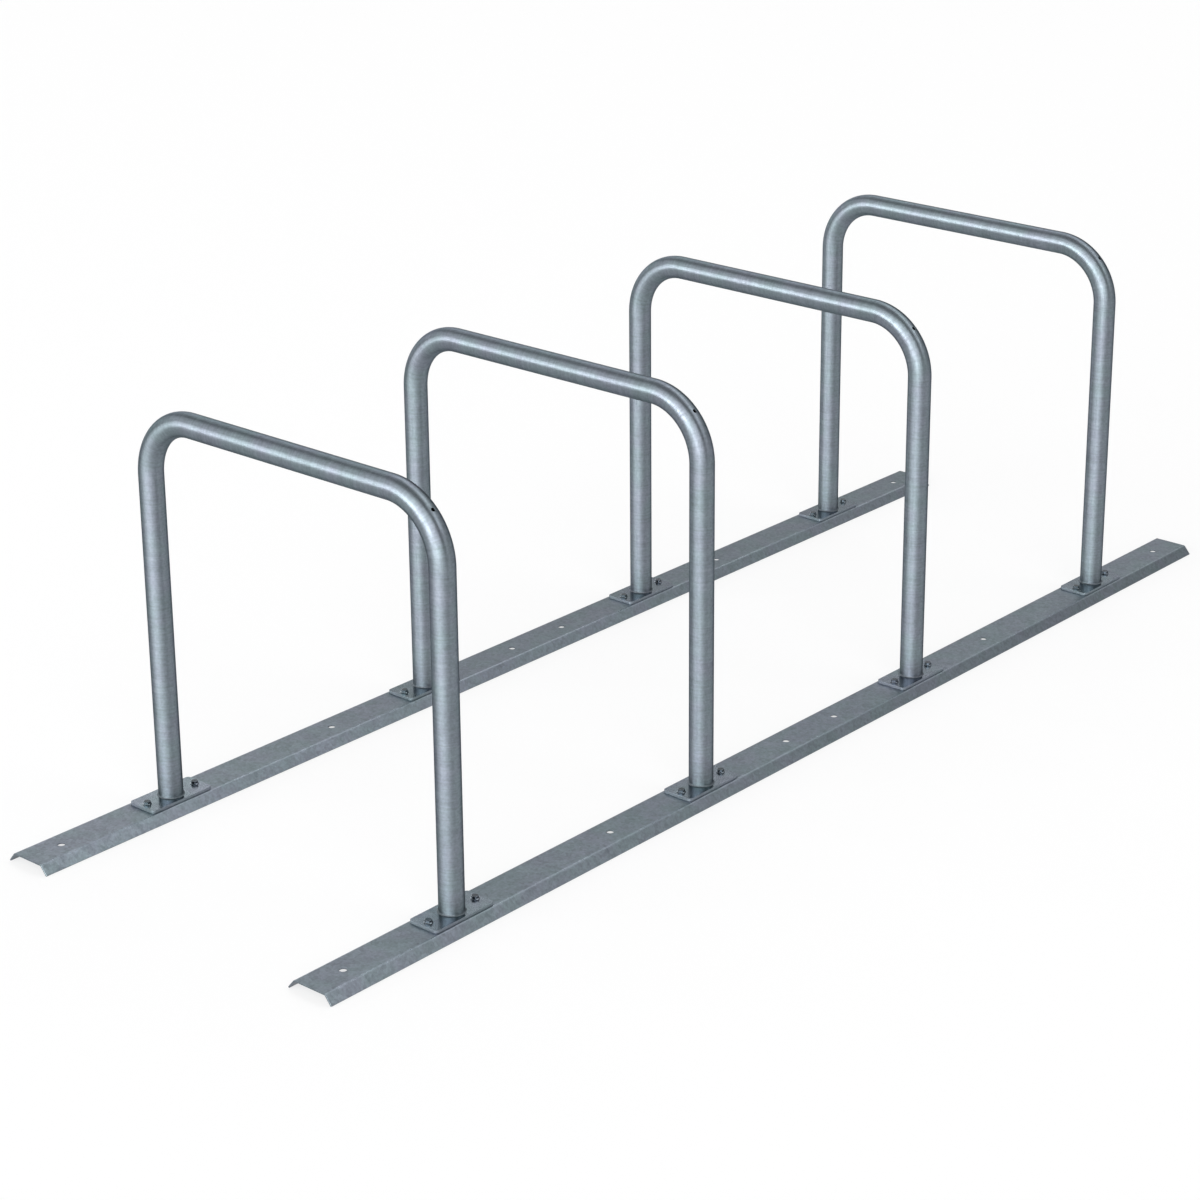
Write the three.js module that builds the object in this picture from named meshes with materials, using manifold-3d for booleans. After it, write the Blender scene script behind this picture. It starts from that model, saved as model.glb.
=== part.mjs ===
// Floor bike rack: four bent tube hoops, each welded to two base plates, bolted to two folded rails.
// Millimetres, +Z up. The rails run along Y, the hoops stand across them along X, and the origin
// is on the floor under the middle of the rack. Hoop 1 is the one at the lowest Y.
import * as THREE from 'three';
import { mergeVertices } from 'three/addons/utils/BufferGeometryUtils.js';
import Module from 'manifold-3d';

// Layout
const HOOP_COUNT = 4;
const HOOP_PITCH = 700;
const RAIL_OVERHANG = HOOP_PITCH / 2; // from the end hoops to the rail ends
const RAIL_LENGTH = (HOOP_COUNT - 1) * HOOP_PITCH + 2 * RAIL_OVERHANG;

// Hoop tube
const TUBE_DIAMETER = 48.3;
const TUBE_WALL = 2.6;
const HOOP_WIDTH = 800; // over the outside of the legs
const HOOP_HEIGHT = 800; // from the base plates to the top of the tube
const BEND_RADIUS = 120; // at the tube's centre line
const VENT_DIAMETER = 8; // zinc vent in the outer wall of one bend
const VENT_ANGLE = Math.PI / 4;

// Rail, folded from sheet: a flat top with a sloping skirt on each side
const SHEET = 3;
const RAIL_HEIGHT = 20;
const RAIL_TOP_WIDTH = 76.5; // between the sharp corners that the bends round off
const SKIRT_SLOPE = THREE.MathUtils.degToRad(50); // below the horizontal
const FOLD_INSIDE_RADIUS = 3;
const ANCHOR_DIAMETER = 14; // hole for an M12 ground anchor
const ANCHOR_INSET = 80; // from an end, or from the middle of the rail, to its anchor hole
const ANCHOR_THIRD = 780; // from a rail end to the anchor hole between the hoops

// Base plate
const PLATE_LENGTH = 150;
const PLATE_WIDTH = 70;
const PLATE_THICKNESS = 6;
const PLATE_CORNER_RADIUS = 8;
const DRAIN_DIAMETER = 12; // zinc drain under the tube
const BOLT_SPACING = 120;
const BOLT_HOLE_DIAMETER = 9;

// M8 flanged fasteners
const THREAD_DIAMETER = 8;
const HEX_ACROSS_FLATS = 13;
const BOLT_HEAD_HEIGHT = 6.5;
const BOLT_LENGTH = 20;
const NUT_HEIGHT = 8;
const FLANGE_DIAMETER = 17.5;
const FLANGE_RIM = 1.5;
const CHAMFER_SLOPE = THREE.MathUtils.degToRad(30);

// Fillet weld round the foot of a leg
const WELD_LEG = 3;
const FIT_GAP = 0.3; // between two faces that would otherwise touch on a curve

// Facets
const TUBE_SIDES = 20;
const BORE_SIDES = 12; // of drilled holes and flanges
const TUBE_BORE_SIDES = 10;
const THREAD_SIDES = 8;
const BEND_STEPS = 8;
const ARC_SEGMENTS = 2; // three.js gives an arc twice this many steps

const LEG_X = (HOOP_WIDTH - TUBE_DIAMETER) / 2;
const PLATE_TOP = RAIL_HEIGHT + PLATE_THICKNESS;
const TUBE_TOP_CENTRE = PLATE_TOP + HOOP_HEIGHT - TUBE_DIAMETER / 2;
const BEND_START = TUBE_TOP_CENTRE - BEND_RADIUS;
const SIDES = [['left', -1], ['right', 1]];
const ENDS = [['front', -1], ['rear', 1]];

const MATERIALS = {
  tube: { color: 0x98a2ab, roughness: 0.42, metalness: 0.85 },
  rail: { color: 0x7c868c, roughness: 0.55, metalness: 0.75 },
  plate: { color: 0x88929a, roughness: 0.4, metalness: 0.8 },
  weld: { color: 0x9aa5b0, roughness: 0.5, metalness: 0.8 },
  fastener: { color: 0x70787e, roughness: 0.45, metalness: 0.85 },
};

const wasm = await Module();
wasm.setup();

// A closed three.js geometry as a solid that can be joined and cut.
function toSolid(geometry) {
  const bare = geometry.clone();
  bare.deleteAttribute('normal');
  bare.deleteAttribute('uv');
  const merged = mergeVertices(bare);
  return new wasm.Manifold(new wasm.Mesh({
    numProp: 3,
    vertProperties: new Float32Array(merged.attributes.position.array),
    triVerts: new Uint32Array(merged.index.array),
  }));
}

function toGeometry(solid) {
  const { vertProperties, triVerts } = solid.getMesh();
  const geometry = new THREE.BufferGeometry();
  geometry.setAttribute('position', new THREE.BufferAttribute(vertProperties, 3));
  geometry.setIndex(new THREE.BufferAttribute(triVerts, 1));
  geometry.computeVertexNormals();
  return geometry;
}

// A straight or tapered round or many-sided bar along Z.
function bar(bottomRadius, topRadius, low, high, sides) {
  const geometry = new THREE.CylinderGeometry(topRadius, bottomRadius, high - low, sides);
  geometry.rotateX(Math.PI / 2);
  geometry.translate(0, 0, (low + high) / 2);
  return geometry;
}

// A round cutter along Z whose flats touch the true circle, so that a hole is never undersize.
function drill(diameter, x, y, low, high, sides = BORE_SIDES) {
  const radius = diameter / 2 / Math.cos(Math.PI / sides);
  return toSolid(bar(radius, radius, low, high, sides).translate(x, y, 0));
}

// The centre line of a hoop, in its own XZ plane. It has one step for each straight run and
// BEND_STEPS for each bend, and t counts those steps rather than length.
class HoopPath extends THREE.Curve {
  static steps = 3 + 2 * BEND_STEPS;

  getUtoTmapping(u) {
    return u;
  }

  // Point and direction on the left half; the right half is its mirror image.
  sample(t) {
    const step = t * HoopPath.steps;
    const mirrored = step > HoopPath.steps / 2;
    const s = mirrored ? HoopPath.steps - step : step;
    const turn = THREE.MathUtils.clamp((s - 1) / BEND_STEPS, 0, 1) * Math.PI / 2;
    const bendCentreX = -LEG_X + BEND_RADIUS;
    const point = new THREE.Vector3(
      bendCentreX - BEND_RADIUS * Math.cos(turn), 0, BEND_START + BEND_RADIUS * Math.sin(turn));
    if (s < 1) point.z = THREE.MathUtils.lerp(PLATE_TOP, BEND_START, s);
    if (s > 1 + BEND_STEPS) point.x = bendCentreX * (1 - 2 * (s - 1 - BEND_STEPS));
    const direction = new THREE.Vector3(Math.sin(turn), 0, Math.cos(turn));
    if (mirrored) {
      point.x *= -1;
      direction.z *= -1;
    }
    return { point, direction };
  }

  getPoint(t, target = new THREE.Vector3()) {
    return target.copy(this.sample(t).point);
  }

  getTangent(t, target = new THREE.Vector3()) {
    return target.copy(this.sample(t).direction);
  }
}

function circlePoints(radius, sides) {
  return Array.from({ length: sides }, (_, i) => new THREE.Vector2(
    radius * Math.cos(2 * Math.PI * i / sides), radius * Math.sin(2 * Math.PI * i / sides)));
}

function hoopGeometry() {
  const section = new THREE.Shape(circlePoints(TUBE_DIAMETER / 2, TUBE_SIDES));
  section.holes.push(new THREE.Path(circlePoints(TUBE_DIAMETER / 2 - TUBE_WALL, TUBE_BORE_SIDES)));
  const tube = new THREE.ExtrudeGeometry(section, {
    steps: HoopPath.steps, extrudePath: new HoopPath(), bevelEnabled: false,
  });
  const vent = bar(VENT_DIAMETER / 2, VENT_DIAMETER / 2, 0, TUBE_DIAMETER, BORE_SIDES);
  vent.translate(0, 0, BEND_RADIUS);
  vent.rotateY(Math.PI / 2 - VENT_ANGLE);
  vent.translate(LEG_X - BEND_RADIUS, 0, BEND_START);
  return toGeometry(toSolid(tube).subtract(toSolid(vent)));
}

// The folded section of a rail, drawn across X with its foot on the floor.
function railSection() {
  const outsideRadius = FOLD_INSIDE_RADIUS + SHEET;
  const foldX = RAIL_TOP_WIDTH / 2 - outsideRadius * Math.tan(SKIRT_SLOPE / 2);
  const foldZ = RAIL_HEIGHT - outsideRadius;
  const down = new THREE.Vector2(Math.cos(SKIRT_SLOPE), -Math.sin(SKIRT_SLOPE));
  const inward = new THREE.Vector2(-Math.sin(SKIRT_SLOPE), -Math.cos(SKIRT_SLOPE));
  const corner = new THREE.Vector2(RAIL_TOP_WIDTH / 2, RAIL_HEIGHT);
  const skirt = (RAIL_HEIGHT + SHEET * inward.y) / -down.y; // from the sharp corner to the outer lip
  const lip = corner.clone().addScaledVector(down, skirt);
  const heel = lip.clone().addScaledVector(inward, SHEET);
  const flat = Math.PI / 2;
  const sloped = flat - SKIRT_SLOPE;
  const section = new THREE.Shape();
  section.absarc(foldX, foldZ, outsideRadius, flat, sloped, true);
  section.lineTo(lip.x, lip.y);
  section.lineTo(heel.x, heel.y);
  section.absarc(foldX, foldZ, FOLD_INSIDE_RADIUS, sloped, flat, false);
  section.absarc(-foldX, foldZ, FOLD_INSIDE_RADIUS, flat, Math.PI - sloped, false);
  section.lineTo(-heel.x, heel.y);
  section.lineTo(-lip.x, lip.y);
  section.absarc(-foldX, foldZ, outsideRadius, Math.PI - sloped, flat, true);
  return section;
}

function hoopY(index) {
  return (index - (HOOP_COUNT - 1) / 2) * HOOP_PITCH;
}

// One length of rail from y = start to y = end, punched with the holes whose centres it holds.
function railLength(section, start, end, holes) {
  const blank = new THREE.ExtrudeGeometry(section, {
    depth: end - start, steps: 1, curveSegments: ARC_SEGMENTS, bevelEnabled: false,
  });
  blank.translate(0, 0, -end);
  blank.rotateX(Math.PI / 2);
  const low = RAIL_HEIGHT - 2 * SHEET;
  const high = RAIL_HEIGHT + SHEET;
  return holes
    .filter(({ y }) => y > start && y < end)
    .reduce((length, { diameter, y }) => length.subtract(drill(diameter, 0, y, low, high)), toSolid(blank));
}

// The rail is joined from lengths that meet midway between a foot and the anchor holes beside it,
// so that the flat round each anchor hole has facets of its own that run under no base plate.
function railGeometry() {
  const anchors = [ANCHOR_INSET, ANCHOR_THIRD, RAIL_LENGTH / 2 - ANCHOR_INSET]
    .flatMap((fromEnd) => ENDS.map(([, end]) => end * (RAIL_LENGTH / 2 - fromEnd)));
  const feet = Array.from({ length: HOOP_COUNT }, (_, i) => hoopY(i));
  const holes = [
    ...anchors.map((y) => ({ diameter: ANCHOR_DIAMETER, y })),
    ...feet.flatMap((foot) => ENDS.map(([, end]) => (
      { diameter: BOLT_HOLE_DIAMETER, y: foot + end * BOLT_SPACING / 2 }))),
  ];
  const ascending = (a, b) => a - b;
  const places = [...anchors, ...feet].sort(ascending);
  const joins = places.slice(1)
    .map((y, i) => [places[i], y])
    .filter(([before, after]) => feet.includes(before) || feet.includes(after))
    .map(([before, after]) => (before + after) / 2);
  const stations = [-RAIL_LENGTH / 2, ...joins, RAIL_LENGTH / 2];
  const section = railSection();
  const lengths = stations.slice(1).map((end, i) => railLength(section, stations[i], end, holes));
  return toGeometry(lengths.reduce((rail, length) => rail.add(length)));
}

function plateGeometry() {
  const x = PLATE_WIDTH / 2 - PLATE_CORNER_RADIUS;
  const y = PLATE_LENGTH / 2 - PLATE_CORNER_RADIUS;
  const outline = new THREE.Shape();
  outline.absarc(x, y, PLATE_CORNER_RADIUS, 0, Math.PI / 2, false);
  outline.absarc(-x, y, PLATE_CORNER_RADIUS, Math.PI / 2, Math.PI, false);
  outline.absarc(-x, -y, PLATE_CORNER_RADIUS, Math.PI, 1.5 * Math.PI, false);
  outline.absarc(x, -y, PLATE_CORNER_RADIUS, 1.5 * Math.PI, 2 * Math.PI, false);
  outline.closePath();
  const blank = new THREE.ExtrudeGeometry(outline, {
    depth: PLATE_THICKNESS, steps: 1, curveSegments: ARC_SEGMENTS, bevelEnabled: false,
  });
  const through = [-SHEET, PLATE_THICKNESS + SHEET];
  const holes = [drill(DRAIN_DIAMETER, 0, 0, ...through)];
  for (const [, end] of ENDS) {
    holes.push(drill(BOLT_HOLE_DIAMETER, 0, end * BOLT_SPACING / 2, ...through));
  }
  return toGeometry(holes.reduce((plate, hole) => plate.subtract(hole), toSolid(blank)));
}

// A concave fillet ring that stands on the plate round the tube.
function weldGeometry() {
  const inner = TUBE_DIAMETER / 2 + FIT_GAP;
  const hollow = WELD_LEG * (1 - Math.SQRT1_2);
  const profile = [
    [inner, 0], [inner + WELD_LEG, 0], [inner + hollow, hollow], [inner, WELD_LEG], [inner, 0],
  ].map(([x, y]) => new THREE.Vector2(x, y));
  return new THREE.LatheGeometry(profile, TUBE_SIDES).rotateX(Math.PI / 2);
}

// A hexagon on a round flange, standing on z = 0, with its top corners turned off.
function flangedHex(height) {
  const flats = HEX_ACROSS_FLATS / 2;
  const corners = flats / Math.cos(Math.PI / 6);
  const coneFoot = flats + height / Math.tan(CHAMFER_SLOPE);
  const hexagon = toSolid(bar(corners, corners, FLANGE_RIM / 2, height, 6));
  const cone = toSolid(bar(coneFoot, flats, 0, height, BORE_SIDES));
  const flange = bar(FLANGE_DIAMETER / 2, FLANGE_DIAMETER / 2 - FLANGE_RIM / 2, 0, FLANGE_RIM, BORE_SIDES);
  return hexagon.intersect(cone).add(toSolid(flange));
}

function boltGeometry() {
  const shank = bar(THREAD_DIAMETER / 2, THREAD_DIAMETER / 2, -BOLT_LENGTH, FLANGE_RIM / 2, THREAD_SIDES);
  return toGeometry(flangedHex(BOLT_HEAD_HEIGHT).add(toSolid(shank)));
}

// The nut hangs from z = 0 with its flange up.
function nutGeometry() {
  const bore = drill(
    THREAD_DIAMETER + 2 * FIT_GAP, 0, 0, -FLANGE_RIM, NUT_HEIGHT + FLANGE_RIM, THREAD_SIDES);
  return toGeometry(flangedHex(NUT_HEIGHT).subtract(bore)).rotateX(Math.PI);
}

function place(parent, name, geometry, material, x, y, z) {
  const mesh = new THREE.Mesh(geometry, new THREE.MeshStandardMaterial(MATERIALS[material]));
  mesh.name = name;
  mesh.position.set(x, y, z);
  parent.add(mesh);
}

const rack = new THREE.Group();

const rail = railGeometry();
for (const [side, sign] of SIDES) {
  place(rack, `rail_${side}`, rail, 'rail', sign * LEG_X, 0, 0);
}

const hoop = hoopGeometry();
const plate = plateGeometry();
const weld = weldGeometry();
const bolt = boltGeometry();
const nut = nutGeometry();
for (let i = 0; i < HOOP_COUNT; i += 1) {
  const number = i + 1;
  const station = new THREE.Group();
  station.position.y = hoopY(i);
  place(station, `hoop_${number}`, hoop, 'tube', 0, 0, 0);
  for (const [side, sign] of SIDES) {
    const foot = `${number}_${side}`;
    const x = sign * LEG_X;
    place(station, `base_plate_${foot}`, plate, 'plate', x, 0, RAIL_HEIGHT);
    place(station, `weld_${foot}`, weld, 'weld', x, 0, PLATE_TOP);
    for (const [end, direction] of ENDS) {
      const y = direction * BOLT_SPACING / 2;
      place(station, `bolt_${foot}_${end}`, bolt, 'fastener', x, y, PLATE_TOP);
      place(station, `nut_${foot}_${end}`, nut, 'fastener', x, y, RAIL_HEIGHT - SHEET);
    }
  }
  rack.add(station);
}

export default rack;
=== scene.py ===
"""Floor bike rack in hot-dip galvanised steel: every rail, hoop, base plate, weld, bolt and nut as a
finished surface, on a pale floor under soft studio light. Metres, +Z up, rails along Y."""
import math

import bpy
from mathutils import Euler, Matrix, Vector, noise
from mathutils.geometry import delaunay_2d_cdt


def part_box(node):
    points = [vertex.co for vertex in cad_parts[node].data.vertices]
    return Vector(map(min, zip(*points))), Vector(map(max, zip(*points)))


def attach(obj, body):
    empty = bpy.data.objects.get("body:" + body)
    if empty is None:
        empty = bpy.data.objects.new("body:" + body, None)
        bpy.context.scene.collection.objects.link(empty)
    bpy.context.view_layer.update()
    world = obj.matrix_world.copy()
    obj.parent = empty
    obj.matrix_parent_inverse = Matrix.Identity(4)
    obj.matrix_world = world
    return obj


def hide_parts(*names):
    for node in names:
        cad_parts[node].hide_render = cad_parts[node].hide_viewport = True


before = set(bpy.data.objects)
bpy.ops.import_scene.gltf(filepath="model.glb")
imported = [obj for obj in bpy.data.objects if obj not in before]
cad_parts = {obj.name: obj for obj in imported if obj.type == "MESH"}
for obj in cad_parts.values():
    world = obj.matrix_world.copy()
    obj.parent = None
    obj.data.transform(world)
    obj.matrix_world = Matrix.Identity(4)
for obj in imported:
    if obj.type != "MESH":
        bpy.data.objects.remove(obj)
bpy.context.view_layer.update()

MM = 0.001
SHARP_ANGLE = math.radians(40)  # between faces, from where an edge isn't shaded smooth
HOOP_NUMBERS = sorted(int(n.split("_")[1]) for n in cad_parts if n.startswith("hoop_"))
SIDES = ("left", "right")
ENDS = ("front", "rear")

# Sizes that the frame holds
hoop_low, hoop_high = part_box("hoop_1")
TUBE_RADIUS = (hoop_high.y - hoop_low.y) / 2
LEG_X = hoop_high.x - TUBE_RADIUS
PLATE_TOP = hoop_low.z
TOP_CENTRE = hoop_high.z - TUBE_RADIUS
_, rail_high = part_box("rail_right")
RAIL_TOP = rail_high.z
RAIL_HALF_LENGTH = rail_high.y
plate_low, plate_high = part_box("base_plate_1_right")
PLATE_HALF_WIDTH = (plate_high.x - plate_low.x) / 2
PLATE_HALF_LENGTH = (plate_high.y - plate_low.y) / 2

# Hoop
TUBE_WALL = 2.6 * MM
BEND_RADIUS = 120 * MM
BEND_START = TOP_CENTRE - BEND_RADIUS
VENT_RADIUS = 4 * MM
VENT_TURN = 0.75 * math.pi  # along the path from the left leg (0) to the right leg (pi)
VENT_RIM = 0.25 * MM  # how far the zinc rounds the vent's edge
TUBE_SIDES = 64
BEND_STEPS = 48  # in each quarter turn
LEG_STEPS = 8  # along a leg and along the top
VENT_PATCH_ROWS = 2  # quads left out on each side of the vent, along the tube
VENT_PATCH_COLUMNS = 3  # and round it

# Rail
SHEET = 3 * MM
RAIL_HALF_TOP = 38.25 * MM  # to the sharp corner that the fold rounds off
SKIRT_SLOPE = math.radians(50)
FOLD_RADIUS = 6 * MM  # outside
FOLD_STEPS = 8
BRIGHT_STEPS = 4  # of these, in the middle, where the fold is burnished
EDGE = 0.4 * MM  # rounding that the zinc leaves on a sheared edge
ANCHOR_RADIUS = 7 * MM
ANCHOR_INSETS = (80 * MM, 780 * MM)  # from the rail's end
ANCHOR_MIDDLE = 80 * MM  # from its middle
BOLT_HOLE_RADIUS = 4.5 * MM
BOLT_OFFSET = 60 * MM
HOLE_PATCH = 12 * MM  # half the side of the square of flat that a hole is punched in
HOLE_CELLS = 6  # cells along that square's side
FLAT_COLUMN = 0.62  # a column of points beside the holes, as a share of the way to the corner

# Base plate
PLATE_CORNER = 8 * MM
DRAIN_RADIUS = 6 * MM
CORNER_STEPS = 10
EDGE_STEPS = 4
HOLE_SIDES = 32
INSIDE_HOLE = 0.99  # share of a hole's radius that the middle of no triangle outside it comes within
MERGE_DISTANCE = 1e-9

# Weld
WELD_LEG = 3 * MM
WELD_WANDER = 0.25 * MM  # how far the leg's length drifts round the tube
WELD_HOLLOW = 0.14  # depth of the bead's hollow, as a share of its leg
WELD_ROOT = 0.2 * MM  # how far the bead reaches into the tube's wall
WELD_RIPPLES = 46
WELD_RIPPLE_DEPTH = 0.2 * MM
WELD_RIPPLE_DRIFT = 0.12  # of a ripple's length
WELD_RIPPLE_NOISE = (6, 40)  # how fast the drift changes round a weld and from weld to weld
WELD_WANDER_NOISE = (2.5, 90)  # and the leg's length
WELD_SHAPE = (0.0, 0.12, 0.3, 0.5, 0.7, 0.88, 1.0)  # shares of the way from the plate up to the tube
WELD_STEPS = 184

# M8 flanged fasteners
HEX_FLATS = 6.5 * MM  # half the width across flats
HEAD_HEIGHT = 6.5 * MM
NUT_HEIGHT = 8 * MM
BOLT_LENGTH = 20 * MM
FLANGE_RADIUS = 8.75 * MM
FLANGE_RIM = 1.1 * MM
FLANGE_TOP = 2.0 * MM
HEX_EASE = 0.35 * MM  # rounding of the hexagon's corners
HEX_CORNER = 0.45  # how far a corner's own point is drawn in, as a share of that rounding
HEX_FOOT = 1.04  # spread of the hexagon where it meets the flange
SEAT_EASE = (0.2 * MM, 0.25 * MM)  # in and up, at the edge of the flange's seat
RIM_EASE = (0.35 * MM, 0.3 * MM)  # in and down, at the flange's rim
CHAMFER_SLOPE = math.radians(30)
CHAMFER_START = 0.94  # radius of the flat top within the chamfer, as a share of the flats
CHAMFER_DRAW = 0.985  # how far its outer edge is drawn in
CHAMFER_EDGE = (0.12 * MM, 0.03 * MM)  # how far that rounding starts below the chamfer and ends above it
FACE_EASE = (0.3 * MM, 0.02 * MM)  # in and down, at the edge of the flat top
NUT_LEAD = 0.5 * MM  # countersink of a nut's bore
NUT_CLEARANCE = 0.15 * MM
NECK = 0.4 * MM  # plain shank under the flange
THREAD_START = 1.5 * NECK
THREAD_RADIUS = 4 * MM
THREAD_DEPTH = 0.6 * MM
THREAD_PITCH = 1.25 * MM
THREAD_TAPER = 0.8 * MM  # length that the thread runs out over at the bolt's tip
THREAD_SIDES = 18
THREAD_ROWS_PER_TURN = 6

# Zinc. Scales are of noise textures, per metre, and shares are of the zinc's tone.
ZINC_TINT = (0.855, 1.0, 1.13)
ZINC_DRIFT = ((1.03, 0.985, 1.02), (0.97, 1.015, 0.98))  # towards violet and towards green
CLOUD_SCALE = 26
HUE_SCALE = 20
GRAIN_SCALE = 190
SPANGLE_SCALE = 120
FINE_SCALE = 900
NOISE_LOW, NOISE_HIGH = 0.3, 0.7  # where most of a noise texture's values lie
HUE_LOW, HUE_HIGH = 0.35, 0.65  # the tighter band of the one that turns the hue
SHADE_SPREAD = 0.2  # share by which the darkest and lightest patches differ from the tone
GLOSS_SPREAD = 0.04  # how much smoother the light patches are than the dark ones
FACET_SPREAD = 0.03  # and one crystal than another
DRAWN_SCALE = (250, 12, 1)  # along the tube and round it, so the texture makes lines round it
DRAWN_SHARE = 0.1
FOOT_PAINTED_SHADE = -0.3  # painted shade: a leg's tone darkens just above its weld, standing in for the dark plate and rail it reflects there
FOOT_PAINTED_SHADE_REACH = 60 * MM
RELIEF = 0.02 * MM  # height of the zinc's fine texture

# Studio
FLOOR_HALF_SIZE = 500.0
FLOOR_TONE = 0.72
FLOOR_GLOW = 0.74  # share of the floor's look that is plain white, so that its shadows stay faint
SKY_LEVEL = 0.3
LAMP_DISTANCE = 100.0

# Photograph's camera
CAMERA_PLACE = (3.786, -4.509, 2.559)
CAMERA_PITCH = math.radians(-20.01)
CAMERA_HEADING = math.radians(39.97)  # to the left of +Y
CAMERA_LENS = 91.02
CAMERA_SENSOR = 36
CAMERA_SHIFT = (-0.0593, -0.0791)


class Skin:
    """Points and faces of one piece. Each face corner has a place on the sheet or tube, in metres."""

    def __init__(self):
        self.points = []
        self.faces = []
        self.places = []
        self.other = set()  # numbers of the faces that take a piece's second material

    def row(self, points):
        first = len(self.points)
        self.points.extend(points)
        return list(range(first, len(self.points)))

    def face(self, corners, places=None):
        if places is None:
            places = [(self.points[c][0] + self.points[c][2], self.points[c][1]) for c in corners]
        self.faces.append(tuple(corners))
        self.places.extend(places)

    def band(self, lower, upper, closed=True):
        """Quads between two rows of equal length."""
        count = len(lower)
        for i in range(count if closed else count - 1):
            j = (i + 1) % count
            self.face((lower[i], lower[j], upper[j], upper[i]))

    def piece(self, node, material, other_material=None):
        """The finished object, riding on the rack in place of its CAD node."""
        name = node + "_skin"
        mesh = bpy.data.meshes.new(name)
        used = sorted({corner for face in self.faces for corner in face})
        number = {old: new for new, old in enumerate(used)}
        mesh.from_pydata([tuple(self.points[i]) for i in used], [],
                         [[number[corner] for corner in face] for face in self.faces])
        layer = mesh.uv_layers.new(name="place")
        for corner, place in zip(layer.data, self.places):
            corner.uv = place
        mesh.shade_smooth()
        mesh.set_sharp_from_angle(angle=SHARP_ANGLE)
        mesh.materials.append(material)
        if other_material:
            mesh.materials.append(other_material)
            for i in self.other:
                mesh.polygons[i].material_index = 1
        assert not mesh.validate()
        obj = bpy.data.objects.new(name, mesh)
        bpy.context.scene.collection.objects.link(obj)
        weighted = obj.modifiers.new("flat_faces", "WEIGHTED_NORMAL")
        weighted.keep_sharp = True
        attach(obj, "root")
        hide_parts(node)
        return obj


def hoop_rings():
    """(centre x, centre z, turn, length so far) of every ring, from the left foot to the right."""
    rings = []
    leg = BEND_START - PLATE_TOP
    bend = BEND_RADIUS * math.pi / 2
    top = 2 * (LEG_X - BEND_RADIUS)
    corner = LEG_X - BEND_RADIUS
    for i in range(LEG_STEPS):
        s = leg * i / LEG_STEPS
        rings.append((-LEG_X, PLATE_TOP + s, 0.0, s))
    for i in range(BEND_STEPS + 1):
        turn = math.pi / 2 * i / BEND_STEPS
        rings.append((-corner - BEND_RADIUS * math.cos(turn), BEND_START + BEND_RADIUS * math.sin(turn),
                      turn, leg + BEND_RADIUS * turn))
    for i in range(1, LEG_STEPS):
        s = top * i / LEG_STEPS
        rings.append((-corner + s, TOP_CENTRE, math.pi / 2, leg + bend + s))
    for i in range(BEND_STEPS + 1):
        turn = math.pi / 2 * (1 + i / BEND_STEPS)
        rings.append((corner - BEND_RADIUS * math.cos(turn), BEND_START + BEND_RADIUS * math.sin(turn),
                      turn, leg + top + BEND_RADIUS * turn))
    for i in range(1, LEG_STEPS + 1):
        s = leg * i / LEG_STEPS
        rings.append((LEG_X, BEND_START - s, math.pi, leg + 2 * bend + top + s))
    return rings


def tube_point(centre_x, centre_z, turn, radius, angle, y):
    """A point at an angle round the tube, measured from the outside of the bend towards the front."""
    out = radius * math.cos(angle)
    return Vector((centre_x - out * math.cos(turn), y - radius * math.sin(angle),
                   centre_z + out * math.sin(turn)))


def tube_wall(skin, rings, vent_ring, radius, y, outward):
    """One wall of the hoop with a square left out at the vent. Returns its end rings, and the square's
    edge as points and as (ring, column) pairs."""
    angles = [2 * math.pi * j / TUBE_SIDES for j in range(TUBE_SIDES)]
    rows = [skin.row([tube_point(x, z, turn, radius, a, y) for a in angles]) for x, z, turn, _ in rings]
    across = [TUBE_RADIUS * 2 * math.pi * j / TUBE_SIDES for j in range(TUBE_SIDES + 1)]
    first, last = vent_ring - VENT_PATCH_ROWS, vent_ring + VENT_PATCH_ROWS
    for i in range(len(rings) - 1):
        for j in range(TUBE_SIDES):
            beside = (j + VENT_PATCH_COLUMNS) % TUBE_SIDES < 2 * VENT_PATCH_COLUMNS
            if first <= i < last and beside:
                continue
            k = (j + 1) % TUBE_SIDES
            corners = [rows[i][j], rows[i][k], rows[i + 1][k], rows[i + 1][j]]
            places = [(rings[i][3], across[j]), (rings[i][3], across[j + 1]),
                      (rings[i + 1][3], across[j + 1]), (rings[i + 1][3], across[j])]
            if not outward:
                corners.reverse()
                places.reverse()
            skin.face(corners, places)
    columns = range(-VENT_PATCH_COLUMNS, VENT_PATCH_COLUMNS)
    steps = range(first, last)
    edge = [(first, j) for j in columns]
    edge += [(i, VENT_PATCH_COLUMNS) for i in steps]
    edge += [(last, -j) for j in columns]
    edge += [(first + last - i, -VENT_PATCH_COLUMNS) for i in steps]
    return rows[0], rows[-1], [rows[i][j % TUBE_SIDES] for i, j in edge], edge


def vent_circle(edge, vent_ring, radius, wall_radius, y):
    """The vent's circle on a wall, one point for each point of the square round it."""
    out = []
    corner = LEG_X - BEND_RADIUS
    for i, j in edge:
        a = j / VENT_PATCH_COLUMNS
        s = (i - vent_ring) / VENT_PATCH_ROWS
        length = math.hypot(a, s)
        around = radius * a / length
        along = radius * s / length
        turn = VENT_TURN + along / (BEND_RADIUS + wall_radius)
        centre_x = corner - BEND_RADIUS * math.cos(turn)
        centre_z = BEND_START + BEND_RADIUS * math.sin(turn)
        out.append(tube_point(centre_x, centre_z, turn, wall_radius, around / wall_radius, y))
    return out


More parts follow.
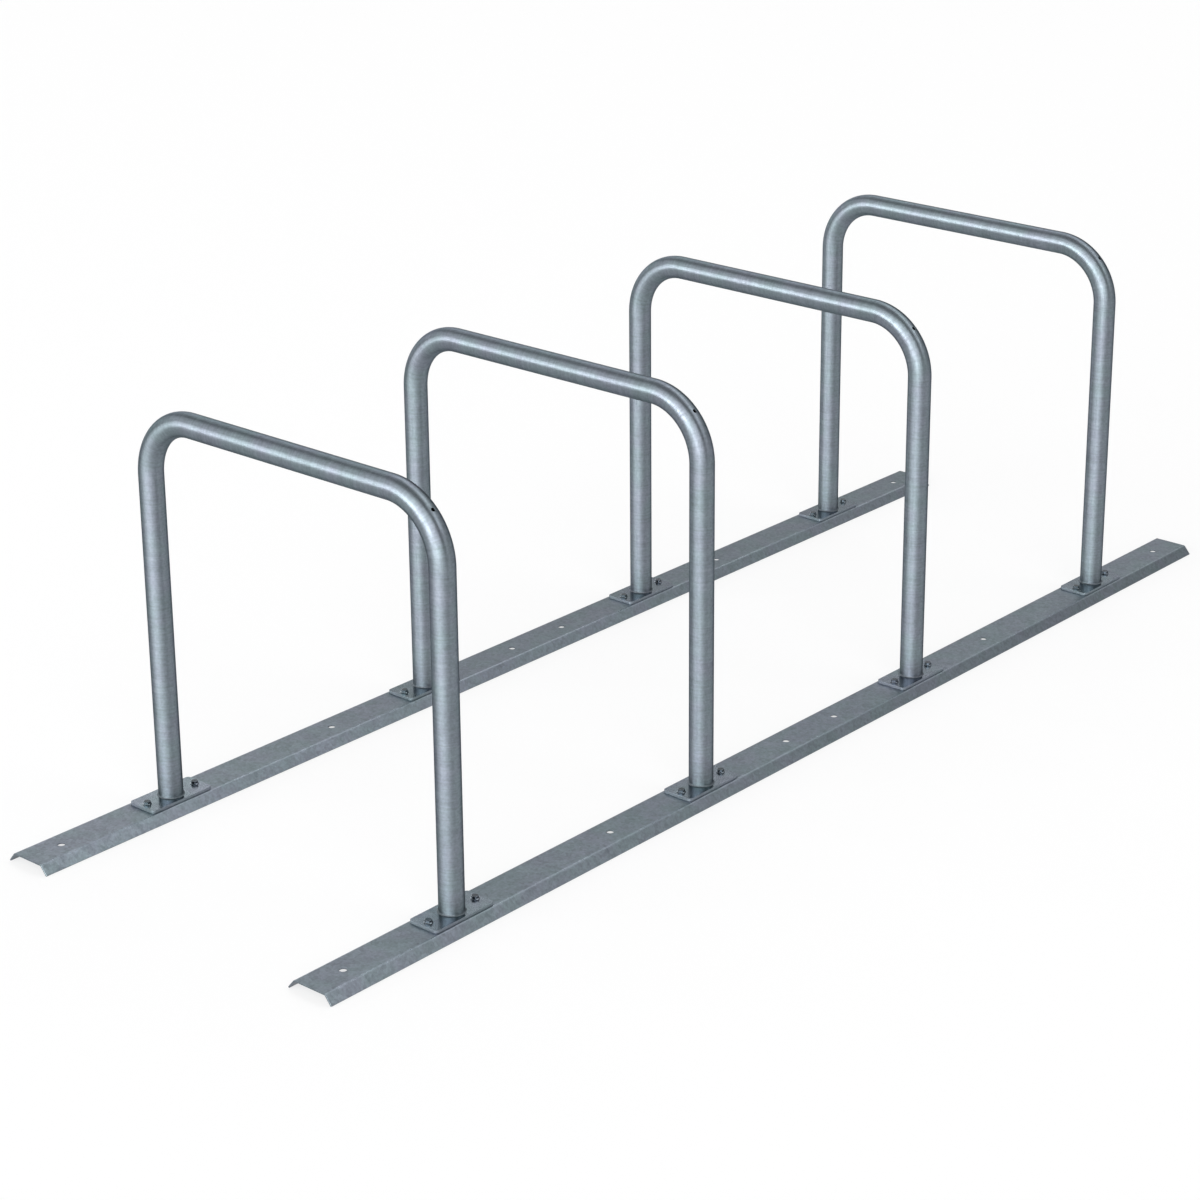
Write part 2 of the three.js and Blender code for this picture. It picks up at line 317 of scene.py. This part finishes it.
def make_hoop(number, material, inside_shade_material):
    name = f"hoop_{number}"
    low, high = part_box(name)
    y = (low.y + high.y) / 2
    rings = hoop_rings()
    vent_ring = min(range(len(rings)), key=lambda i: abs(rings[i][2] - VENT_TURN))
    skin = Skin()
    inner_radius = TUBE_RADIUS - TUBE_WALL
    start, end, square, edge = tube_wall(skin, rings, vent_ring, TUBE_RADIUS, y, True)
    rim = skin.row(vent_circle(edge, vent_ring, VENT_RADIUS + VENT_RIM, TUBE_RADIUS, y))
    mouth = skin.row(vent_circle(edge, vent_ring, VENT_RADIUS, TUBE_RADIUS - VENT_RIM, y))
    skin.band(square, rim)
    skin.band(rim, mouth)
    first_inside = len(skin.faces)
    inner_start, inner_end, inner_square, _ = tube_wall(skin, rings, vent_ring, inner_radius, y, False)
    inside = skin.row(vent_circle(edge, vent_ring, VENT_RADIUS, inner_radius, y))
    skin.band(mouth, inside)
    skin.band(inside, inner_square)
    # the inner wall and the vent's bore take the near-black second material, which is painted shade
    # inside the tube
    skin.other = set(range(first_inside, len(skin.faces)))
    skin.band(inner_start, start)
    skin.band(end, inner_end)
    return skin.piece(name, material, inside_shade_material)


def rail_side(depth, pull):
    """Half of the rail's section at a depth into the sheet, from beside the flat to the lip.
    pull is how far the lip stops short of the sheet's edge."""
    fold_x = RAIL_HALF_TOP - FOLD_RADIUS * math.tan(SKIRT_SLOPE / 2)
    fold_z = RAIL_TOP - FOLD_RADIUS
    radius = FOLD_RADIUS - depth
    points = []
    for i in range(FOLD_STEPS + 1):
        angle = SKIRT_SLOPE * i / FOLD_STEPS
        points.append((fold_x + radius * math.sin(angle), fold_z + radius * math.cos(angle)))
    sharp = (RAIL_HALF_TOP, RAIL_TOP)
    down = (math.cos(SKIRT_SLOPE), -math.sin(SKIRT_SLOPE))
    inward = (-math.sin(SKIRT_SLOPE), -math.cos(SKIRT_SLOPE))
    length = (RAIL_TOP - (SHEET - EDGE) * math.cos(SKIRT_SLOPE)) / math.sin(SKIRT_SLOPE) - pull
    start = FOLD_RADIUS * math.tan(SKIRT_SLOPE / 2)
    for share in (0.5, 1):
        run = start + (length - start) * share
        points.append(tuple(sharp[k] + run * down[k] + depth * inward[k] for k in range(2)))
    return points


def rail_section(inset):
    """The rail's section, drawn in by inset: an outer and an inner row of (x, z) from lip to lip, with
    the same columns, and the right lip's two points."""
    cell = 2 * HOLE_PATCH / HOLE_CELLS
    flat = [-HOLE_PATCH + cell * i for i in range(HOLE_CELLS + 1)]
    beyond = RAIL_HALF_TOP * FLAT_COLUMN
    flat = [-beyond] + flat + [beyond]
    rows = []
    for depth, z in ((inset, RAIL_TOP - inset), (SHEET - inset, RAIL_TOP - SHEET + inset)):
        side = rail_side(depth, EDGE + inset)
        rows.append([(-x, h) for x, h in reversed(side)] + [(x, z) for x in flat] + side)
    lip = rail_side(EDGE + inset / 2, inset)[-1], rail_side(SHEET - EDGE - inset / 2, inset)[-1]
    return rows[0], rows[1], lip


def rail_holes():
    """(y, radius) of every hole, from the frame's bolts and the anchor holes between them."""
    bolts = []
    for number in HOOP_NUMBERS:
        low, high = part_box(f"base_plate_{number}_right")
        foot = (low.y + high.y) / 2
        bolts += [(foot - BOLT_OFFSET, BOLT_HOLE_RADIUS), (foot + BOLT_OFFSET, BOLT_HOLE_RADIUS)]
    anchors = []
    for y in [RAIL_HALF_LENGTH - inset for inset in ANCHOR_INSETS] + [ANCHOR_MIDDLE]:
        anchors += [(-y, ANCHOR_RADIUS), (y, ANCHOR_RADIUS)]
    return sorted(bolts + anchors)


def rail_loop(inset):
    """The section as a closed loop of (x, z): left lip, outer row, right lip, and the inner row back."""
    outer, inner, lip = rail_section(inset)
    mirrored = [(-x, z) for x, z in lip]
    return mirrored[:1] + outer + list(lip) + inner[::-1] + mirrored[1:]


def rail_stations(holes):
    """Where the rows of points stand along the rail, and the first row of the square round each hole."""
    cell = 2 * HOLE_PATCH / HOLE_CELLS
    stations = [-RAIL_HALF_LENGTH + EDGE]
    starts = {}
    for hole in holes:
        starts[len(stations)] = hole
        stations += [hole[0] - HOLE_PATCH + cell * i for i in range(HOLE_CELLS + 1)]
    stations.append(RAIL_HALF_LENGTH - EDGE)
    return stations, starts


def fold_columns(columns):
    """The outer row's columns of faces that are the middle of a fold."""
    margin = (FOLD_STEPS - BRIGHT_STEPS) // 2
    last = columns - 3 - margin  # the row ends with the skirt's two columns
    right = {1 + last - i for i in range(1, BRIGHT_STEPS + 1)}
    return right | {columns - j for j in right}


def punch_hole(skin, rows, start, outer_first, inner_last, centre, hole):
    """Joins the squares left out of both sides of the sheet to a round hole with eased edges."""
    y, radius = hole
    steps = range(HOLE_CELLS)
    ring = [(start, j) for j in steps] + [(start + i, HOLE_CELLS) for i in steps]
    ring += [(start + HOLE_CELLS, HOLE_CELLS - j) for j in steps]
    ring += [(start + HOLE_CELLS - i, 0) for i in steps]
    top = [rows[i][outer_first + j] for i, j in ring]
    bottom = [rows[i][inner_last - j] for i, j in ring]
    half = HOLE_CELLS / 2
    ways = [Vector((j - half, i - start - half)).normalized() for i, j in ring]
    levels = []
    for r, z in ((radius + EDGE, RAIL_TOP), (radius, RAIL_TOP - EDGE),
                 (radius, RAIL_TOP - SHEET + EDGE), (radius + EDGE, RAIL_TOP - SHEET)):
        levels.append(skin.row([Vector((centre + r * w.x, y + r * w.y, z)) for w in ways]))
    for lower, upper in zip([top] + levels, levels + [bottom]):
        skin.band(lower, upper)


def close_rail_end(skin, row, centre, y):
    """Eases the sheared edge beyond the last row of points, and closes it."""
    end = skin.row([Vector((centre + x, y, z)) for x, z in rail_loop(EDGE)])
    half = len(end) // 2
    top, below = end[:half], end[half:][::-1]
    if y > 0:
        skin.band(row, end)
        skin.band(top, below, closed=False)
    else:
        skin.band(end, row)
        skin.band(below, top, closed=False)


def make_rail(side, material, fold_material):
    name = f"rail_{side}"
    low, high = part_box(name)
    centre = (low.x + high.x) / 2
    stations, starts = rail_stations(rail_holes())
    loop = rail_loop(0.0)
    count = len(loop)
    columns = (count - 4) // 2  # in the outer row and in the inner row, without the lips
    outer_first = 1 + (columns - HOLE_CELLS - 1) // 2  # where the holes' squares begin in the outer row
    inner_last = count - 1 - outer_first  # and end in the inner row, which runs back
    punched = set()
    for start in starts:
        for i in range(start, start + HOLE_CELLS):
            for j in range(HOLE_CELLS):
                punched |= {(i, outer_first + j), (i, inner_last - 1 - j)}
    fold = fold_columns(columns)
    skin = Skin()
    rows = [skin.row([Vector((centre + x, y, z)) for x, z in loop]) for y in stations]
    for i in range(len(stations) - 1):
        for j in range(count):
            if (i, j) in punched:
                continue
            if j in fold:
                skin.other.add(len(skin.faces))
            k = (j + 1) % count
            skin.face((rows[i][j], rows[i][k], rows[i + 1][k], rows[i + 1][j]))
    for start, hole in starts.items():
        punch_hole(skin, rows, start, outer_first, inner_last, centre, hole)
    close_rail_end(skin, rows[0], centre, -RAIL_HALF_LENGTH)
    close_rail_end(skin, rows[-1], centre, RAIL_HALF_LENGTH)
    return skin.piece(name, material, fold_material)


def plate_outline(inset):
    """The plate's outline, drawn in by inset, as (x, y) anticlockwise from its right side."""
    radius = PLATE_CORNER - inset
    x = PLATE_HALF_WIDTH - PLATE_CORNER
    y = PLATE_HALF_LENGTH - PLATE_CORNER
    points = []
    for quarter, (sx, sy) in enumerate(((1, 1), (-1, 1), (-1, -1), (1, -1))):
        for i in range(CORNER_STEPS + 1):
            angle = math.pi / 2 * (quarter + i / CORNER_STEPS)
            points.append((sx * x + radius * math.cos(angle), sy * y + radius * math.sin(angle)))
    return points


def circle(radius, y):
    step = 2 * math.pi / HOLE_SIDES
    return [(radius * math.cos(step * i), y + radius * math.sin(step * i)) for i in range(HOLE_SIDES)]


def plate_flat(skin, rows, holes):
    """Fills a flat between the plate's outline and its holes. rows are point numbers, outline first."""
    numbers = [n for row in rows for n in row]
    flat = [skin.points[n].to_2d() for n in numbers]
    edges = []
    first = 0
    for row in rows:
        edges += [(first + i, first + (i + 1) % len(row)) for i in range(len(row))]
        first += len(row)
    _, _, faces, origins, _, _ = delaunay_2d_cdt(flat, edges, [], 1, MERGE_DISTANCE)
    placed = [o[0] for o in origins]
    kept = []
    for face in faces:
        corners = [placed[i] for i in face]
        middle = sum((flat[c] for c in corners), Vector((0, 0))) / len(corners)
        if all((middle - centre).length > radius * INSIDE_HOLE for centre, radius in holes):
            kept.append([numbers[c] for c in corners])
    return kept


def make_plate(number, side, material, side_material):
    name = f"base_plate_{number}_{side}"
    low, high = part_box(name)
    centre = (low + high) / 2
    skin = Skin()

    def level(outline, z):
        return skin.row([Vector((centre.x + x, centre.y + y, z)) for x, y in outline])

    rounding = [math.pi / 2 * i / EDGE_STEPS for i in range(EDGE_STEPS + 1)]
    rings = []
    for angle in rounding:
        rings.append(level(plate_outline(EDGE * (1 - math.sin(angle))),
                           low.z + EDGE * (1 - math.cos(angle))))
    for angle in reversed(rounding):
        rings.append(level(plate_outline(EDGE * (1 - math.sin(angle))),
                           high.z - EDGE * (1 - math.cos(angle))))
    for lower, upper in zip(rings, rings[1:]):
        skin.band(lower, upper)
    skin.other = set(range(len(skin.faces)))
    places = ((0.0, DRAIN_RADIUS), (-BOLT_OFFSET, BOLT_HOLE_RADIUS), (BOLT_OFFSET, BOLT_HOLE_RADIUS))
    tops = [level(circle(radius, y), high.z) for y, radius in places]
    bottoms = [level(circle(radius, y), low.z) for y, radius in places]
    for top, bottom in zip(tops, bottoms):
        skin.band(top, bottom)
    holes = [(Vector((centre.x, centre.y + y)), radius) for y, radius in places]
    for face in plate_flat(skin, [rings[-1]] + tops, holes):
        skin.face(face)
    for face in plate_flat(skin, [rings[0]] + bottoms, holes):
        skin.face(face[::-1])
    return skin.piece(name, material, side_material)


def make_weld(number, side, material):
    """A bead laid round the foot of a leg in overlapping ripples."""
    name = f"weld_{number}_{side}"
    low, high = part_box(name)
    centre = (low + high) / 2
    skin = Skin()
    offset = Vector((centre.x, centre.y, 0))
    root = TUBE_RADIUS - WELD_ROOT
    round_drift, between_drift = WELD_RIPPLE_NOISE
    round_wander, between_wander = WELD_WANDER_NOISE
    rows = []
    for i in range(WELD_STEPS):
        angle = 2 * math.pi * i / WELD_STEPS
        way = Vector((math.cos(angle), math.sin(angle), 0))
        drift = WELD_RIPPLE_DRIFT * noise.noise(way * round_drift + centre * between_drift)
        phase = (WELD_RIPPLES * i / WELD_STEPS + drift) % 1
        ripple = WELD_RIPPLE_DEPTH * (2 * abs(phase - 0.5)) ** 2
        wander = noise.noise(way * round_wander + centre * between_wander)
        leg = WELD_LEG - WELD_WANDER + WELD_WANDER * wander
        points = [Vector((0, 0, low.z)) + way * root]
        for share in WELD_SHAPE:
            hollow = (WELD_HOLLOW * leg + ripple) * math.sin(math.pi * share)
            out = max(leg * (1 - share) - hollow, 0)
            up = max(leg * share - hollow, 0)
            points.append(way * (TUBE_RADIUS + out) + Vector((0, 0, low.z + up)))
        points.append(way * root + Vector((0, 0, low.z + leg)))
        rows.append(skin.row([p + offset for p in points]))
    for i, row in enumerate(rows):
        after = rows[(i + 1) % WELD_STEPS]
        skin.band(after, row)
    return skin.piece(name, material)


def hex_ring():
    """(x, y) round a hexagon with two corners on the Y axis and all corners eased."""
    reach = HEX_FLATS * math.tan(math.pi / 6)
    points = []
    for side in range(6):
        angle = math.pi / 3 * side
        along = Vector((-math.sin(angle), math.cos(angle)))
        out = Vector((math.cos(angle), math.sin(angle)))
        for share in (-1, -0.5, 0, 0.5, 1):
            points.append(out * HEX_FLATS + along * (reach - HEX_EASE) * share)
        corner = out * HEX_FLATS + along * reach
        points.append(corner * (1 - HEX_CORNER * HEX_EASE / corner.length))
    return points


def hex_profile(skin, place, height, up):
    """Rings of a flanged hexagon from its seat to the edge of its top face."""
    hexagon = hex_ring()
    count = len(hexagon)

    def ring(points, heights):
        return skin.row([place + Vector((p.x, p.y, up * h)) for p, h in zip(points, heights)])

    def turned(radius):
        return [p.normalized() * radius for p in hexagon]

    top_radius = HEX_FLATS * CHAMFER_START
    cone = [height - max(p.length - top_radius, 0) * math.tan(CHAMFER_SLOPE) for p in hexagon]
    return [
        ring(turned(FLANGE_RADIUS - SEAT_EASE[0]), [0.0] * count),
        ring(turned(FLANGE_RADIUS), [SEAT_EASE[1]] * count),
        ring(turned(FLANGE_RADIUS), [FLANGE_RIM - RIM_EASE[1]] * count),
        ring(turned(FLANGE_RADIUS - RIM_EASE[0]), [FLANGE_RIM] * count),
        ring([p * HEX_FOOT for p in hexagon], [FLANGE_TOP] * count),
        ring(hexagon, [FLANGE_TOP + HEX_EASE] * count),
        ring(hexagon, [c - CHAMFER_EDGE[0] for c in cone]),
        ring([p * CHAMFER_DRAW for p in hexagon], [c + CHAMFER_EDGE[1] for c in cone]),
        ring(turned(top_radius), [height - FACE_EASE[1]] * count),
        ring(turned(top_radius - FACE_EASE[0]), [height] * count),
    ]


def stitch(skin, rings, up):
    """Bands between rings that stand one beyond the other, upwards or downwards."""
    for lower, upper in zip(rings, rings[1:]):
        if up > 0:
            skin.band(lower, upper)
        else:
            skin.band(upper, lower)


def make_bolt(number, side, end, material):
    name = f"bolt_{number}_{side}_{end}"
    low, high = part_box(name)
    place = Vector(((low.x + high.x) / 2, (low.y + high.y) / 2, PLATE_TOP))
    skin = Skin()
    rings = hex_profile(skin, place, HEAD_HEIGHT, 1)
    stitch(skin, rings, 1)
    skin.face(rings[-1])
    step = 2 * math.pi / len(rings[0])
    neck = []
    for z in (0.0, -NECK):
        neck.append(skin.row([place + Vector((THREAD_RADIUS * math.cos(step * i),
                                              THREAD_RADIUS * math.sin(step * i), z))
                              for i in range(len(rings[0]))]))
    skin.band(neck[0], rings[0])
    skin.band(neck[1], neck[0])
    add_thread(skin, place, neck[1])
    return skin.piece(name, material)


def add_thread(skin, place, neck):
    """The threaded shank below the neck, whose lower row has two points for each side of the thread."""
    start = -THREAD_START
    turns = (BOLT_LENGTH + start) / THREAD_PITCH
    rows = int(turns * THREAD_ROWS_PER_TURN)
    rings = []
    for i in range(rows + 1):
        z = start - (BOLT_LENGTH + start) * i / rows
        fullness = min(1, (BOLT_LENGTH + z) / THREAD_TAPER)
        ring = []
        for j in range(THREAD_SIDES):
            phase = (z / THREAD_PITCH + j / THREAD_SIDES) % 1
            depth = THREAD_DEPTH * min(1, abs(2 * phase - 1) + 1 - fullness)
            radius = THREAD_RADIUS - depth
            angle = 2 * math.pi * j / THREAD_SIDES
            ring.append(place + Vector((radius * math.cos(angle), radius * math.sin(angle), z)))
        rings.append(skin.row(ring))
    for upper, lower in zip(rings, rings[1:]):
        skin.band(lower, upper)
    for j in range(THREAD_SIDES):
        k = (j + 1) % THREAD_SIDES
        skin.face((rings[0][j], rings[0][k], neck[2 * k], neck[2 * j + 1], neck[2 * j]))
    skin.face(rings[-1][::-1])


def make_nut(number, side, end, material):
    name = f"nut_{number}_{side}_{end}"
    low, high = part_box(name)
    place = Vector(((low.x + high.x) / 2, (low.y + high.y) / 2, high.z))
    skin = Skin()
    rings = hex_profile(skin, place, NUT_HEIGHT, -1)
    bore = THREAD_RADIUS + NUT_CLEARANCE
    mouth = bore + NUT_LEAD
    ways = [p.normalized() for p in hex_ring()]
    inside = ((mouth, -NUT_HEIGHT), (bore, NUT_LEAD - NUT_HEIGHT), (bore, -NUT_LEAD), (mouth, 0.0))
    for radius, z in inside:
        rings.append(skin.row([place + Vector((w.x * radius, w.y * radius, z)) for w in ways]))
    stitch(skin, rings + [rings[0]], -1)
    return skin.piece(name, material)


class Nodes:
    """Short forms for building a shader."""

    def __init__(self, tree):
        self.tree = tree

    def add(self, kind, **values):
        node = self.tree.nodes.new(kind)
        for key, value in values.items():
            setattr(node, key, value)
        return node

    def link(self, source, target):
        self.tree.links.new(source, target)

    def coordinates(self, output, scale):
        texture = self.add("ShaderNodeTexCoord")
        mapping = self.add("ShaderNodeMapping")
        mapping.inputs["Scale"].default_value = scale
        self.link(texture.outputs[output], mapping.inputs["Vector"])
        return mapping.outputs["Vector"]

    def height(self, vector):
        node = self.add("ShaderNodeSeparateXYZ")
        self.link(vector, node.inputs["Vector"])
        return node.outputs["Z"]

    def noise(self, vector, scale, detail=3.0, roughness=0.5):
        node = self.add("ShaderNodeTexNoise")
        self.link(vector, node.inputs["Vector"])
        node.inputs["Scale"].default_value = scale
        node.inputs["Detail"].default_value = detail
        node.inputs["Roughness"].default_value = roughness
        return node.outputs["Fac"]

    def spangle(self, vector, scale):
        """Two random greys for each crystal of zinc."""
        node = self.add("ShaderNodeTexVoronoi")
        self.link(vector, node.inputs["Vector"])
        node.inputs["Scale"].default_value = scale
        split = self.add("ShaderNodeSeparateColor")
        self.link(node.outputs["Color"], split.inputs["Color"])
        return split.outputs["Red"], split.outputs["Green"]

    def remap(self, value, low, high, out_low, out_high):
        node = self.add("ShaderNodeMapRange")
        self.link(value, node.inputs["Value"])
        for key, number in (("From Min", low), ("From Max", high),
                            ("To Min", out_low), ("To Max", out_high)):
            node.inputs[key].default_value = number
        return node.outputs["Result"]

    def math(self, operation, a, b):
        node = self.add("ShaderNodeMath", operation=operation)
        for socket, value in zip(node.inputs, (a, b)):
            if isinstance(value, (int, float)):
                socket.default_value = value
            else:
                self.link(value, socket)
        return node.outputs[0]

    def total(self, values):
        result = values[0]
        for value in values[1:]:
            result = self.math("ADD", result, value)
        return result

    def mix(self, factor, a, b, blend="MIX"):
        node = self.add("ShaderNodeMix", data_type="RGBA", blend_type=blend)
        for key, value in (("Factor", factor), ("A", a), ("B", b)):
            if isinstance(value, tuple):
                node.inputs[key].default_value = (*value, 1)
            elif isinstance(value, float):
                node.inputs[key].default_value = value
            else:
                self.link(value, node.inputs[key])
        return node.outputs["Result"]


def galvanised(name, tone, roughness, clouds, grain, spangle=0.0, drawn=0.0, rim=1.0):
    """Hot-dip zinc of a mean reflectance tone. clouds, grain and spangle say by what share of it
    patches a few centimetres wide, specks and crystals vary. drawn tells how far a tube's surface is
    drawn out by its rolling, and also paints shade on a leg just above its weld; rim tells how much
    of a mirror's sheen the zinc keeps at a grazing angle."""
    material = bpy.data.materials.new(name)
    material.use_nodes = True
    nodes = Nodes(material.node_tree)
    shader = material.node_tree.nodes["Principled BSDF"]
    place = nodes.coordinates("Object", (1, 1, 1))
    crystal, facet = nodes.spangle(place, SPANGLE_SCALE)
    cloud = nodes.noise(place, CLOUD_SCALE, 4)
    speck = nodes.noise(place, GRAIN_SCALE, 2, 0.6)
    shares = [nodes.remap(cloud, NOISE_LOW, NOISE_HIGH, -clouds, clouds),
              nodes.remap(speck, NOISE_LOW, NOISE_HIGH, -grain, grain),
              nodes.remap(crystal, 0, 1, -spangle, spangle)]
    if drawn:
        lines = nodes.noise(nodes.coordinates("UV", DRAWN_SCALE), 1, 2, 0.6)
        shares.append(nodes.remap(lines, NOISE_LOW, NOISE_HIGH, -DRAWN_SHARE, DRAWN_SHARE))
        # painted shade: the tube's tone darkens towards the plate at a leg's foot, standing in for the
        # dark plate and rail it reflects
        shares.append(nodes.remap(nodes.height(place), PLATE_TOP, PLATE_TOP + FOOT_PAINTED_SHADE_REACH, FOOT_PAINTED_SHADE, 0))
        tangent = nodes.add("ShaderNodeTangent", direction_type="UV_MAP", uv_map="place")
        nodes.link(tangent.outputs["Tangent"], shader.inputs["Tangent"])
        shader.inputs["Anisotropic"].default_value = drawn
    shade = nodes.total(shares)
    dark, light = (tuple(tone * k * c for c in ZINC_TINT) for k in (0.5, 1.5))
    grey = nodes.mix(nodes.remap(shade, -0.5, 0.5, 0, 1), dark, light)
    hue = nodes.remap(nodes.noise(place, HUE_SCALE, 2), HUE_LOW, HUE_HIGH, 0, 1)
    drift = nodes.mix(hue, *ZINC_DRIFT)
    nodes.link(nodes.mix(1.0, grey, drift, "MULTIPLY"), shader.inputs["Base Color"])
    shader.inputs["Metallic"].default_value = 1.0
    shader.inputs["Specular Tint"].default_value = (rim, rim, rim, 1)
    smoothing = nodes.remap(shade, -SHADE_SPREAD, SHADE_SPREAD,
                            roughness + GLOSS_SPREAD, roughness - GLOSS_SPREAD)
    gloss = nodes.math("ADD", smoothing, nodes.remap(facet, 0, 1, -FACET_SPREAD, FACET_SPREAD))
    nodes.link(gloss, shader.inputs["Roughness"])
    bump = nodes.add("ShaderNodeBump")
    bump.inputs["Distance"].default_value = RELIEF
    nodes.link(nodes.math("ADD", nodes.noise(place, FINE_SCALE, 2), shade), bump.inputs["Height"])
    nodes.link(bump.outputs["Normal"], shader.inputs["Normal"])
    return material


def make_rack():
    tube = galvanised("galvanised_tube", 0.24, 0.42, clouds=0.05, grain=0.1, spangle=0.03,
                      drawn=0.8, rim=0.2)
    # painted shade: a near-black zinc tone for the tube's inside, so that the vent reads dark
    tube_inside_painted_shade = galvanised("galvanised_inside_painted_shade", 0.06, 0.7, clouds=0.05, grain=0.12)
    rail = galvanised("galvanised_sheet", 0.2, 0.38, clouds=0.05, grain=0.12, spangle=0.1, rim=0.7)
    fold = galvanised("galvanised_fold", 0.2, 0.3, clouds=0.05, grain=0.12, spangle=0.05)
    plate = galvanised("galvanised_plate", 0.34, 0.2, clouds=0.05, grain=0.08, spangle=0.05, rim=0.7)
    plate_edge = galvanised("galvanised_plate_edge", 0.25, 0.6, clouds=0.05, grain=0.12)
    weld = galvanised("galvanised_weld", 0.13, 0.6, clouds=0.05, grain=0.1)
    fastener = galvanised("galvanised_fastener", 0.15, 0.11, clouds=0.04, grain=0.06, spangle=0.02)
    for side in SIDES:
        make_rail(side, rail, fold)
    for number in HOOP_NUMBERS:
        make_hoop(number, tube, tube_inside_painted_shade)
        for side in SIDES:
            make_plate(number, side, plate, plate_edge)
            make_weld(number, side, weld)
            for end in ENDS:
                make_bolt(number, side, end, fastener)
                make_nut(number, side, end, fastener)


def make_floor():
    size = FLOOR_HALF_SIZE
    mesh = bpy.data.meshes.new("floor")
    corners = [(-size, -size, 0), (size, -size, 0), (size, size, 0), (-size, size, 0)]
    mesh.from_pydata(corners, [], [(0, 1, 2, 3)])
    floor = bpy.data.objects.new("floor", mesh)
    bpy.context.scene.collection.objects.link(floor)
    material = bpy.data.materials.new("floor_paint")
    material.use_nodes = True
    nodes = Nodes(material.node_tree)
    shader = material.node_tree.nodes["Principled BSDF"]
    shader.inputs["Base Color"].default_value = (FLOOR_TONE, FLOOR_TONE, FLOOR_TONE, 1)
    shader.inputs["Roughness"].default_value = 0.9
    shader.inputs["Specular IOR Level"].default_value = 0.0
    path = nodes.add("ShaderNodeLightPath")
    seen = nodes.total([path.outputs[f"Is {kind} Ray"] for kind in ("Camera", "Glossy", "Transmission")])
    white = nodes.add("ShaderNodeEmission")
    mixed = nodes.add("ShaderNodeMixShader")
    nodes.link(nodes.math("MULTIPLY", nodes.math("MINIMUM", seen, 1.0), FLOOR_GLOW), mixed.inputs[0])
    nodes.link(shader.outputs["BSDF"], mixed.inputs[1])
    nodes.link(white.outputs["Emission"], mixed.inputs[2])
    nodes.link(mixed.outputs["Shader"], material.node_tree.nodes["Material Output"].inputs["Surface"])
    mesh.materials.append(material)


def make_lamp(name, azimuth, elevation, width, height, level):
    """A soft panel seen from the rack at an azimuth (0 along -Y, 90 along +X) and elevation, width and
    height in degrees. level is its radiance, where 1 is white."""
    light = bpy.data.lights.new(name, "AREA")
    light.shape = "RECTANGLE"
    light.size = 2 * LAMP_DISTANCE * math.tan(math.radians(width / 2))
    light.size_y = 2 * LAMP_DISTANCE * math.tan(math.radians(height / 2))
    light.energy = level * math.pi * light.size * light.size_y
    lamp = bpy.data.objects.new(name, light)
    a, e = math.radians(azimuth), math.radians(elevation)
    way = Vector((math.sin(a) * math.cos(e), -math.cos(a) * math.cos(e), math.sin(e)))
    lamp.location = way * LAMP_DISTANCE
    lamp.rotation_euler = way.to_track_quat("Z", "Y").to_euler()
    lamp.visible_camera = False
    bpy.context.scene.collection.objects.link(lamp)


def make_light():
    world = bpy.data.worlds.new("studio")
    world.use_nodes = True
    background = world.node_tree.nodes["Background"]
    background.inputs["Color"].default_value = (1, 1, 1, 1)
    background.inputs["Strength"].default_value = SKY_LEVEL
    bpy.context.scene.world = world
    make_lamp("front_panel", 3, 17, 90, 34, 4.0)
    make_lamp("front_core", 4, 8, 46, 16, 5.8)
    make_lamp("high_left_panel", -50, 46, 56, 24, 1.0)
    make_lamp("high_right_panel", 30, 46, 50, 26, 2.2)
    make_lamp("right_panel", 58, 24, 26, 24, 2.4)
    make_lamp("left_panel", -102, 13, 56, 24, 1.9)
    make_lamp("high_back_left_panel", -131, 41.5, 40, 20, 1.35)
    make_lamp("back_panel", 182, 23, 92, 34, 0.17)
    make_lamp("high_back_panel", 162, 50, 86, 28, 1.05)
    make_lamp("top_back_panel", 184, 62, 50, 18, 1.0)
    make_lamp("side_panel", 116, 42, 28, 28, 1.4)


def make_camera():
    data = bpy.data.cameras.new("camera")
    data.sensor_width = CAMERA_SENSOR
    data.lens = CAMERA_LENS
    data.shift_x, data.shift_y = CAMERA_SHIFT
    camera = bpy.data.objects.new("camera", data)
    camera.location = CAMERA_PLACE
    camera.rotation_euler = Euler((math.pi / 2 + CAMERA_PITCH, 0, CAMERA_HEADING))
    bpy.context.scene.collection.objects.link(camera)
    bpy.context.scene.camera = camera


make_rack()
make_floor()
make_light()
make_camera()
bpy.context.scene.view_settings.view_transform = "Standard"
